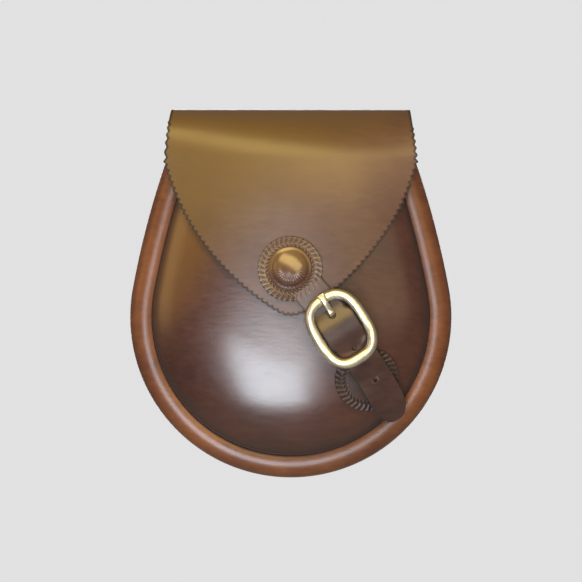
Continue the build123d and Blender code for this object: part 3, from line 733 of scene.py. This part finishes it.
def thread_place(u, v):
    """A corner of the waxed thread that joins back and rim, diving through at each hole."""
    x, z, out_x, out_z = round_the_rim(THREAD_ENDS + (1 - 2 * THREAD_ENDS) * u, THREAD_INSET)
    phase = (u * STITCHES) % 1.0
    depth = STITCH_SEAT + STITCH_RISE * (1 - 3.0 * abs(2 * phase - 1) ** 4)
    turn = 2 * pi * v
    wide = THREAD_WIDE * cos(turn) + STITCH_LEAN * (phase - 0.5)
    return (x + out_x * wide, depth + THREAD_THICK * sin(turn), z + out_z * wide)


thread = laid_sheet("back_seam_thread", STITCHES * 10, 8, thread_place)
recalculate(thread)
waxed_thread = leather_material(
    "waxed_thread", (0.5, 0.36, 0.2), (0.66, 0.5, 0.3), 0.55, grain=0.3, coat=0.1, cloud=200
)
thread.data.materials.append(waxed_thread)
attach(thread, "pouch")

# -------------------------------- closing strap
# A strap of waxed dark leather, cut in one with a round end that is stamped with a
# double rope border. The rosette's stud holds it, and it runs over the buckle's bar
# to its rounded point, with three punched holes.
STRAP_DOWN = radians(57.7)
BAR_X = 28.6
BAR_Z = BAG_TOP - 126.35
STRAP_WIDTH = 19.6
STRAP_LEATHER = 2.2
STRAP_TO_TIP = 61.5
STRAP_TO_ROSETTE = 44.6
STRAP_BOW = 3.5
POINT_LENGTH = 15
STRAP_START = 14 - STRAP_TO_ROSETTE
ROSETTE_OFFSET = 6.1
ROSETTE_RADIUS = 18.6
ROSETTE_LEATHER = 1.8
FRAME_LIFT = 7.3
FRAME_INSIDE = 16.7
FRAME_REACH = 22.9
WINDOW_FILL = 10.9
BAR_RADIUS = 1.6
BAR_LIFT = 3.9
CHAPE_LEATHER = 2.0
CHAPE_WIDTH = 17.5
LAY_GAP = 0.15
strap_way = Vector((cos(STRAP_DOWN), 0, -sin(STRAP_DOWN)))
cross_way = Vector((sin(STRAP_DOWN), 0, cos(STRAP_DOWN)))
# The strap's colour carries a painted warm sheen that lightens it towards the upper left, over the
# rosette.
strap_leather = leather_material(
    "strap_leather", (0.03, 0.0115, 0.008), (0.06, 0.024, 0.016), 0.36, grain=0.09, coat=0.5, cloud=30,
    painted_sheen=((0.125, 0.066, 0.034), (-0.5, 0, 0.85), -75, -30), dark_dye_and_shade=True,
)


def on_plan(along, across):
    """The place in front view of a point along and across the strap."""
    return Vector((BAR_X, 0, BAR_Z)) + strap_way * along + cross_way * across


def square_to_front(along, across, span):
    """The point of the front under a place on the strap, and the way square out of it."""
    spot = on_plan(along, across)
    lean_x = (lay_rise(spot.x + span, spot.z) - lay_rise(spot.x - span, spot.z)) / (2 * span)
    lean_z = (lay_rise(spot.x, spot.z + span) - lay_rise(spot.x, spot.z - span)) / (2 * span)
    spot.y = -(SEAM_DEPTH + lay_rise(spot.x, spot.z))
    return spot, Vector((-lean_x, -1, -lean_z)).normalized()


bar_spot, buckle_out = square_to_front(0, 0, FRAME_REACH)
bar_spot += Vector((0, FRAME_LIFT / buckle_out.y, 0)) - buckle_out * FRAME_LIFT
buckle_along = (strap_way - buckle_out * strap_way.dot(buckle_out)).normalized()
buckle_across = buckle_out.cross(buckle_along)
BED_HALF = 20
BED_STEP = 1.5
BED_ALONG = [12.0 + n * BED_STEP for n in range(36)]


def bed_line(aside):
    """Heights of the stiff strap's bed along one line, bridging from the front to the rim."""
    spots = [on_plan(along, aside) for along in BED_ALONG]
    ground = [(along, lay_rise(spot.x, spot.z)) for along, spot in zip(BED_ALONG, spots)]
    return softened(taut_over(ground, BED_ALONG), 14)


bed_lines = np.array([bed_line(aside) for aside in range(-BED_HALF, BED_HALF + 1)])


def bridged_rise(along, across):
    """Rise of the bed that the strap's end bridges stiffly, between the lines."""
    n = min(max((along - BED_ALONG[0]) / BED_STEP, 0.0), len(BED_ALONG) - 1.001)
    m = min(max(across + BED_HALF, 0.0), 2 * BED_HALF - 0.001)
    i, j = int(m), int(n)
    left, low = m - i, n - j
    first, second = bed_lines[i : i + 2, j] * (1 - low) + bed_lines[i : i + 2, j + 1] * low
    return float(first * (1 - left) + second * left)


def strap_bed(along, across, stiff=False):
    """The point under the strap: on the front, but on the buckle's plane near its bar."""
    spot = on_plan(along, across)
    rise = lay_rise(spot.x, spot.z)
    if stiff:
        share = eased(along, ((FRAME_INSIDE, 0.0), (FRAME_INSIDE + 12, 1.0)))
        rise += max(0.0, bridged_rise(along, across) - rise) * share
    front_y = -(SEAM_DEPTH + rise)
    away = spot - bar_spot
    plane_y = bar_spot.y - (away.x * buckle_out.x + away.z * buckle_out.z) / buckle_out.y
    spot.y = front_y + (plane_y - front_y) * eased(abs(along), ((BAR_RADIUS, 1.0), (FRAME_INSIDE, 0.0)))
    return spot


def strap_middle(along):
    """How far the strap's bowed middle line lies off the buckle's axis."""
    reach = (STRAP_TO_TIP + STRAP_TO_ROSETTE) / 2
    part = (along - (STRAP_TO_TIP - STRAP_TO_ROSETTE) / 2) / reach
    return -ROSETTE_OFFSET * (1 - part) / 2 + STRAP_BOW * (1 - part**2)


fold_middle = BAR_RADIUS + LAY_GAP + CHAPE_LEATHER / 2
fold_top = BAR_LIFT + fold_middle + CHAPE_LEATHER / 2
flap_top = BODY_GAP + BACK_LEATHER
doubled_top = 2 * (LAY_GAP + CHAPE_LEATHER)
patch_top = LAY_GAP + CHAPE_LEATHER
PATCH_ALONG = 33.1
PATCH_OFFSET = 2.5
strap_stations = (
    (-0.8 * FRAME_INSIDE, flap_top + LAY_GAP),
    (-BAR_RADIUS, fold_top + BODY_GAP),
    (BAR_RADIUS, fold_top + BODY_GAP),
    (FRAME_INSIDE, doubled_top + BODY_GAP),
    (22, doubled_top + BODY_GAP),
    (PATCH_ALONG, patch_top + BODY_GAP),
    (PATCH_ALONG + ROSETTE_RADIUS, patch_top + BODY_GAP),
    (STRAP_TO_TIP, BODY_GAP),
)


def strap_along(v):
    """The place along the strap by v, closer together towards its point."""
    return STRAP_START + (STRAP_TO_TIP - STRAP_START) * (1 - (1 - v) ** 1.35)


def strap_half_width(along):
    """Half the strap's width, drawn in to its rounded point."""
    part = max(0.0, (along - STRAP_TO_TIP) / POINT_LENGTH + 1)
    return STRAP_WIDTH / 2 * sqrt(max(0.0, 1 - part**2.1)) ** 0.9


def strap_place(u, v):
    """A corner of the strap's underside, which fills the buckle's window beside the bar."""
    along, side = strap_along(v), 2 * u - 1
    half = strap_half_width(along)
    filled = max(0.0, WINDOW_FILL - half - strap_middle(along) * (1 if side > 0 else -1))
    half += filled * eased(abs(along), ((4, 1.0), (9.5, 0.0)))
    spot = strap_bed(along, strap_middle(along) + half * side, True)
    spot.y -= eased(along, strap_stations)
    return spot


def strap_marks(u, v):
    """How far a corner is from the strap's dark cut edge, in mm."""
    return strap_half_width(strap_along(v)) * (1 - abs(2 * u - 1))


PUNCH_REACH = 8
SINK_DEPTH = 1.0
# Along, across, radius, the countersink's radius and the material that it shows.
strap_holes = (
    (-8.9, 0.0, 1.9, 2.4, 0),
    (13.7, strap_middle(13.7), 1.25, 1.8, 0),
    (35.9, strap_middle(35.9), 1.25, 2.8, 3),
)


def punch(piece, along, across, radius, mouth, shown):
    """Cuts a round hole through the strap and countersinks its mouth."""
    spot = strap_bed(along, across, True)
    spot.y -= eased(along, strap_stations) + STRAP_LEATHER
    turned = buckle_out.to_track_quat("Z", "Y").to_euler()
    for wide, narrow, depth in ((radius, radius, PUNCH_REACH), (mouth, radius * 0.9, SINK_DEPTH)):
        bpy.ops.mesh.primitive_cone_add(
            vertices=40, radius1=narrow * MM, radius2=wide * MM, depth=depth * MM, location=spot * MM,
            rotation=turned,
        )
        cutter = bpy.context.object
        for face in cutter.data.polygons:
            face.material_index = shown
        apply_modifier(piece, "BOOLEAN", operation="DIFFERENCE", object=cutter, solver="EXACT")
        bpy.data.objects.remove(cutter)


strap = laid_sheet("closing_strap_leather", 28, 200, strap_place, strap_marks)
face_out(strap, (BAR_X, -50, BAR_Z), (0, -1, 0))
thicken(strap, strap_leather, STRAP_LEATHER)
punched_leather = leather_material(
    "punched_leather", (0.07, 0.03, 0.012), (0.12, 0.052, 0.02), 0.6, grain=0.1, coat=0.0, cloud=60
)
strap.data.materials.append(punched_leather)
for hole in strap_holes:
    punch(strap, *hole)
smooth_below(strap, 40)
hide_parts("closing_strap")
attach(strap, "flap")

# Each rope's middle, half width and the slant of its strands; the groove's middle and width.
ROPES = ((16.5, 2.0, 1.0), (13.5, 1.3, -1.3))
STRANDS = 36
GROOVE = (11.6, 1.3)
GROOVE_DEPTH = 0.6
NICK = 0.5
STAMP_RADII = [0, 4, 8, 10.5, 12] + [12.2 + n * 0.245 for n in range(25)] + [ROSETTE_RADIUS]


def rope_stamp(radius, angle):
    """Height of the stamped double rope border at a place on a round end, in mm."""
    height = 0.0
    for middle, width, slant in ROPES:
        off = (radius - middle) / width
        if abs(off) < 1:
            ridge = 0.5 + 0.5 * cos(STRANDS * angle + slant * off * 2)
            height += (ridge * 0.68 - 0.46) * (1 - off * off) ** 0.7
    return height


def stamped_disc(name, along, across, leather, thickness, lift, groove_depth):
    """A round end with a rope border, its middle at a place on the strap.

    lift gives the height of its face over the front. Its edge is notched by the stamps.
    """

    def place(u, v):
        radius = STAMP_RADII[round(v * (len(STAMP_RADII) - 1))]
        angle = 2 * pi * u
        if radius == ROSETTE_RADIUS:
            radius -= NICK * (0.5 - 0.5 * cos(STRANDS * angle + 1.0))
        spot = (along + radius * cos(angle), across + radius * sin(angle))
        groove = groove_depth * exp(-(((radius - GROOVE[0]) / GROOVE[1]) ** 2))
        face = strap_bed(*spot)
        face.y -= lift(*spot)
        face.y -= rope_stamp(radius, angle) - groove
        return face

    def marks(u, v):
        radius = STAMP_RADII[round(v * (len(STAMP_RADII) - 1))]
        return 1.0 + 1.2 * min(0.0, rope_stamp(radius, 2 * pi * u)) if radius < ROSETTE_RADIUS else 0.4

    disc = laid_sheet(name, 360, len(STAMP_RADII) - 1, place, marks)
    face_out(disc, strap_bed(along, across), (0, -1, 0))
    thicken(disc, leather, thickness, -1)
    smooth_below(disc, 60)
    return disc


rosette = stamped_disc(
    "stamped_rosette", -STRAP_TO_ROSETTE, -ROSETTE_OFFSET, strap_leather, ROSETTE_LEATHER,
    lambda along, across: flap_top + LAY_GAP + STRAP_LEATHER, GROOVE_DEPTH,
)
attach(rosette, "flap")

# -------------------------------- rosette's button
# A disc of the same leather is moulded wet over the domed head of the stud that
# holds strap and flap together, and its gathered edge shows as fine pleats below.
button_base, button_out = square_to_front(-STRAP_TO_ROSETTE, -ROSETTE_OFFSET, ROSETTE_RADIUS)
button_side = (strap_way - button_out * strap_way.dot(button_out)).normalized()
button_up = button_out.cross(button_side)
BUTTON_SEAT = flap_top + 2 * LAY_GAP + STRAP_LEATHER
DOME_RADIUS = 10.4
BRIM_RADIUS = 12.5
DOME_RINGS = 26
DOME_FOOT = 1.1
PLEATS = 16
PLEAT_DEPTH = 0.6
button_rings = [(DOME_RADIUS * n / DOME_RINGS, "dome") for n in range(DOME_RINGS + 1)]
button_rings += [(11.1, "brim"), (11.8, "brim"), (BRIM_RADIUS, "brim")]
button_rings += [(BRIM_RADIUS, "under"), (9.8, "under")]


def button_place(u, v):
    """A corner of the button's leather, round by u and outwards by v.

    The dome leans: it stands higher below, and only its lower side is gathered in pleats.
    """
    radius, kind = button_rings[round(v * (len(button_rings) - 1))]
    angle = 2 * pi * u
    way = button_side * cos(angle) + button_up * sin(angle)
    height = 0.05
    if kind == "dome":
        share = radius / DOME_RADIUS
        dome = 1.9 + 2.1 * (1 - share**2) - 1.7 * share * way.z
        pleat = PLEAT_DEPTH * (abs(sin(PLEATS * angle)) ** 0.7 - 0.6) * min(1.0, max(0.0, 0.25 - way.z))
        height = DOME_FOOT + dome * max(0.0, 1 - share**10) ** 0.6
        height += pleat * eased(share, ((0.4, 0.0), (0.75, 1.0), (1.0, 0.7)))
    elif kind == "brim":
        height = 0.25 + 0.85 * (BRIM_RADIUS - radius) / (BRIM_RADIUS - DOME_RADIUS)
    return button_base + way * radius + button_out * (BUTTON_SEAT + height)


button = laid_sheet("rosette_button", 256, len(button_rings) - 1, button_place)
recalculate(button)
face_out(button, button_base + button_out * (BUTTON_SEAT + 5.2), button_out)
# The button's colour carries a painted warm highlight that lightens its upper side.
button_leather = leather_material(
    "button_leather", (0.064, 0.026, 0.015), (0.1, 0.044, 0.025), 0.25, grain=0.05, coat=0.9, cloud=30,
    painted_sheen=((0.17, 0.095, 0.03), (0, 0, 1), -48, -30),
)
button.data.materials.append(button_leather)
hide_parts("rosette_cap")
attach(button, "flap")

# Cast brass, polished, with fine handling marks and a little haze of lacquer.
cast_brass, brass_tree, brass = new_material("polished_brass")
haze = noise(brass_tree, add_node(brass_tree, "TexCoord", {})["Object"], 220, 4)
gloss = add_node(brass_tree, "MapRange", {"Value": haze, "To Min": 0.28, "To Max": 0.41})
dents = add_node(brass_tree, "Bump", {"Height": haze, "Strength": 0.02, "Distance": 0.0003})
tint = colour_ramp(brass_tree, haze, (0.3, (0.7872, 0.7298, 0.5412)), (0.62, (0.96, 0.89, 0.66)))
feed(brass, {
    "Metallic": 1.0, "Base Color": tint, "Roughness": gloss["Result"], "Normal": dents["Normal"]
})


def finish_in_brass(*names):
    """Gives pieces that keep their solid shape their real finish."""
    for name in names:
        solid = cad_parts[name]
        solid.data.materials.clear()
        solid.data.materials.append(cast_brass)


finish_in_brass("rosette_stud", "rosette_washer")

# -------------------------------- buckle
# A polished oval buckle of cast brass: a half-round frame, notched for the tongue's tip
# and bowed forward below so that it swings clear of the strap, with a bar under its
# middle, and a tongue of wire bent round the bar.
FRAME_THICK = 4.2
FRAME_FOOT = 0.35
FRAME_BOW = 1.5
FRAME_OVAL = (FRAME_REACH, 17.7, 2.6)
WINDOW_OVAL = (FRAME_INSIDE, 11.5, 3.4)
NOTCH_HALF = 2.1
NOTCH_DEPTH = 1.2
BAR_HALF = 13.6
BOSS_START, BOSS_END = 11.2, 12.2
BOSS_SWELL, BOSS_RISE = 0.9, 3.4
TONGUE_HALF = 1.5
TONGUE_THICK = 0.75
TONGUE_TIP, TONGUE_RUN = -21.7, 20.1
WIRE_BEND_START, WIRE_BEND = 0.78 * pi, 1.62 * pi


def buckle_point(along, across, height):
    """A point in the buckle's own directions."""
    return bar_spot + buckle_along * along + buckle_across * across + buckle_out * height


def oval_reach(angle, half_length, half_width, squareness):
    """Distance from the middle to a squared oval in one direction."""
    return (
        (abs(cos(angle)) / half_length) ** squareness + (abs(sin(angle)) / half_width) ** squareness
    ) ** (-1 / squareness)


def frame_place(u, v):
    """A corner of the frame: round the oval by u, round its section by v."""
    angle, turn = 2 * pi * u, 2 * pi * v
    outside, inside = oval_reach(angle, *FRAME_OVAL), oval_reach(angle, *WINDOW_OVAL)
    away, rise = -cos(turn), sin(turn)
    if rise < 0:
        height = FRAME_FOOT - FRAME_FOOT * min(1.0, -rise * 2.5)
        away = abs(away) ** 0.6 if away > 0 else -(abs(away) ** 0.6)
    else:
        height = FRAME_FOOT + (FRAME_THICK - FRAME_FOOT) * rise**0.8
    radius = (outside + inside) / 2 + (outside - inside) / 2 * away
    along, across = radius * cos(angle), radius * sin(angle)
    height += FRAME_BOW * eased(along, ((4, 0.0), (12.5, 1.0)))
    if along < -FRAME_INSIDE + 1 and height > 2.5 and abs(across) < NOTCH_HALF:
        height -= NOTCH_DEPTH * sqrt(1 - (across / NOTCH_HALF) ** 6)
    return buckle_point(along, across, FRAME_LIFT + height)


frame_ring = laid_sheet("buckle_frame_cast", 420, 48, frame_place)
recalculate(frame_ring)


def bar_place(u, v):
    """A corner of the bar and its two bosses, along by u and round by v."""
    across = BAR_HALF * (2 * u - 1)
    boss = eased(abs(across), ((BOSS_START, 0.0), (BOSS_END, 1.0)))
    radius = BAR_RADIUS + BOSS_SWELL * boss
    turn = 2 * pi * v
    height = BAR_LIFT + radius * sin(turn) + (BOSS_RISE * boss if sin(turn) > 0.2 else 0)
    return buckle_point(radius * cos(turn), across, height)


bar = laid_sheet("buckle_bar", 60, 24, bar_place)
recalculate(bar)
pick(frame_ring, bar)
bpy.ops.object.join()
frame_ring.data.materials.append(cast_brass)
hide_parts("buckle_frame")
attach(frame_ring, "buckle")

tongue_rest = FRAME_LIFT + FRAME_THICK - NOTCH_DEPTH + 0.1 + TONGUE_THICK
tongue_line = (
    (-FRAME_INSIDE - 1.5, tongue_rest),
    (-11, tongue_rest - 1.9),
    (-6.8, BAR_LIFT + 2.5),
    (0, BAR_LIFT + 2.41),
)


def tongue_place(u, v):
    """A corner of the tongue, from its tip by u and round its section by v."""
    turn = 2 * pi * v
    if u < 0.8:
        part = u / 0.8
        tip = sqrt(max(0.0, 1 - (1 - min(1.0, part * 12)) ** 2))
        along = TONGUE_TIP + TONGUE_RUN * part
        height = eased(along, tongue_line) + TONGUE_THICK * (0.6 + 0.4 * tip) * sin(turn)
        return buckle_point(along, TONGUE_HALF * tip * cos(turn), height)
    swing = WIRE_BEND_START - (u - 0.8) / 0.2 * WIRE_BEND
    reach = BAR_RADIUS + 0.06 + TONGUE_THICK + TONGUE_THICK * sin(turn)
    return buckle_point(reach * cos(swing), TONGUE_HALF * cos(turn), BAR_LIFT + reach * sin(swing))


tongue = laid_sheet("buckle_tongue_wire", 110, 16, tongue_place)
edit_whole(tongue, bpy.ops.mesh.fill_holes, sides=60)
recalculate(tongue)
tongue.data.materials.append(cast_brass)
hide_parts("buckle_tongue")
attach(tongue, "tongue")

# -------------------------------- chape
# The buckle hangs on a second strip of leather, whose round end is stamped like the
# rosette and sewn to the front; it is folded round the bar and the tongue's bend.
FOLD_FLAT = 20
TAIL_LENGTH = 14
beside = CHAPE_WIDTH / 2 + BODY_GAP
over_stations = (
    (BAR_RADIUS, fold_top - CHAPE_LEATHER),
    (PATCH_ALONG - ROSETTE_RADIUS, doubled_top - CHAPE_LEATHER),
    (FOLD_FLAT, doubled_top - CHAPE_LEATHER),
    (PATCH_ALONG - 2 * CHAPE_LEATHER, LAY_GAP),
)


def patch_under(along, across):
    """Underside of the patch: it bridges the folded tail and lies down beside it."""
    aside = eased(abs(across), ((beside, 1.0), (beside + 2 * CHAPE_LEATHER, 0.0)))
    return LAY_GAP + (eased(along, over_stations) - LAY_GAP) * aside


patch_leather = leather_material(
    "patch_leather", (0.022, 0.009, 0.0062), (0.044, 0.018, 0.0118), 0.5, grain=0.09, coat=0.15, cloud=30,
    dark_dye_and_shade=True,
)
patch = stamped_disc(
    "stamped_patch", PATCH_ALONG, -PATCH_OFFSET, patch_leather, CHAPE_LEATHER - 0.3,
    lambda along, across: patch_under(along, across) + CHAPE_LEATHER - 0.2, 0.0,
)
belt_leather = leather_material("belt_loop_leather", (0.045, 0.016, 0.01), (0.078, 0.03, 0.019), 0.4)


def fold_place(u, v):
    """A corner of the chape's outer face, from over the patch by v, round the bar and under."""
    across = CHAPE_WIDTH * (u - 0.5)
    outer = fold_middle + CHAPE_LEATHER / 2
    if v < 0.45:
        along = FOLD_FLAT * (1 - v / 0.45)
        spot = strap_bed(along, across)
        spot.y -= patch_under(max(along, BAR_RADIUS), 0) + CHAPE_LEATHER
        return spot
    if v < 0.7:
        turn = pi / 2 + (v - 0.45) / 0.25 * pi
        return buckle_point(outer * cos(turn), across, BAR_LIFT + outer * sin(turn))
    return buckle_point(TAIL_LENGTH * (v - 0.7) / 0.3, across, BAR_LIFT - outer)


fold = laid_sheet("chape_fold", 12, 120, fold_place)
face_out(fold, buckle_point(6, 5, 8), buckle_out)
thicken(fold, belt_leather, CHAPE_LEATHER, -1)
pick(patch, fold)
bpy.ops.object.join()
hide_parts("buckle_chape")
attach(patch, "pouch")

# -------------------------------- belt loops
# Two straps of the dark bridle leather are bent out for the belt and riveted flat
# to the back above and below, each rivet drawn up on a washer inside the bag.
LOOP_SIDE = 35
LOOP_TAB, LOOP_OUT = 1.5, 7.5
LOOP_RISE, LOOP_END = 31.5, 44
LOOP_BEND = 2.88
LOOP_HALF = 15
LOOP_LEATHER = 2.94
END_ROUNDING = 6
loop_line = [Vector((LOOP_TAB, -LOOP_END))]
loop_corners = [(LOOP_TAB, -LOOP_RISE), (LOOP_OUT, -LOOP_RISE)]
loop_corners += [(LOOP_OUT, LOOP_RISE), (LOOP_TAB, LOOP_RISE)]
way_in = Vector((0, 1))
for corner, after in zip(loop_corners, loop_corners[1:] + [(LOOP_TAB, LOOP_END)]):
    way_out = (Vector(after) - Vector(corner)).normalized()
    start, end = Vector(corner) - way_in * LOOP_BEND, Vector(corner) + way_out * LOOP_BEND
    loop_line += [rounded(start, Vector(corner), end, n / 8) for n in range(9)]
    way_in = way_out
loop_line.append(Vector((LOOP_TAB, LOOP_END)))
loop_lengths = np.cumsum([0.0] + [(b - a).length for a, b in zip(loop_line, loop_line[1:])])


def loop_place(side, u, v):
    """A corner of a loop's middle face: tab, rise, run past the belt, fall and rounded tab."""
    reach = v * loop_lengths[-1]
    depth, height = [float(np.interp(reach, loop_lengths, row)) for row in zip(*loop_line)]
    end = LOOP_END - abs(height) if depth < 2 else END_ROUNDING
    pull = 1 - sqrt(max(0.0, 1 - (1 - min(1.0, end / END_ROUNDING)) ** 2))
    return (side * LOOP_SIDE + (LOOP_HALF - 5 * pull) * (2 * u - 1), depth, height)


for name, side in (("left_belt_loop", -1), ("right_belt_loop", 1)):
    loop = laid_sheet(name + "_strap", 16, 160, lambda u, v: loop_place(side, u, v))
    face_out(loop, (side * LOOP_SIDE, LOOP_OUT, 0), (0, 1, 0))
    thicken(loop, belt_leather, LOOP_LEATHER, 0)
    edges = {"limit_method": "ANGLE", "angle_limit": radians(60)}
    apply_modifier(loop, "BEVEL", width=0.4 * MM, segments=2, **edges)
    smooth_below(loop, 40)
    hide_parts(name)
    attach(loop, "pouch")

for number in range(1, 9):
    finish_in_brass(f"loop_rivet_{number}", f"loop_washer_{number}")
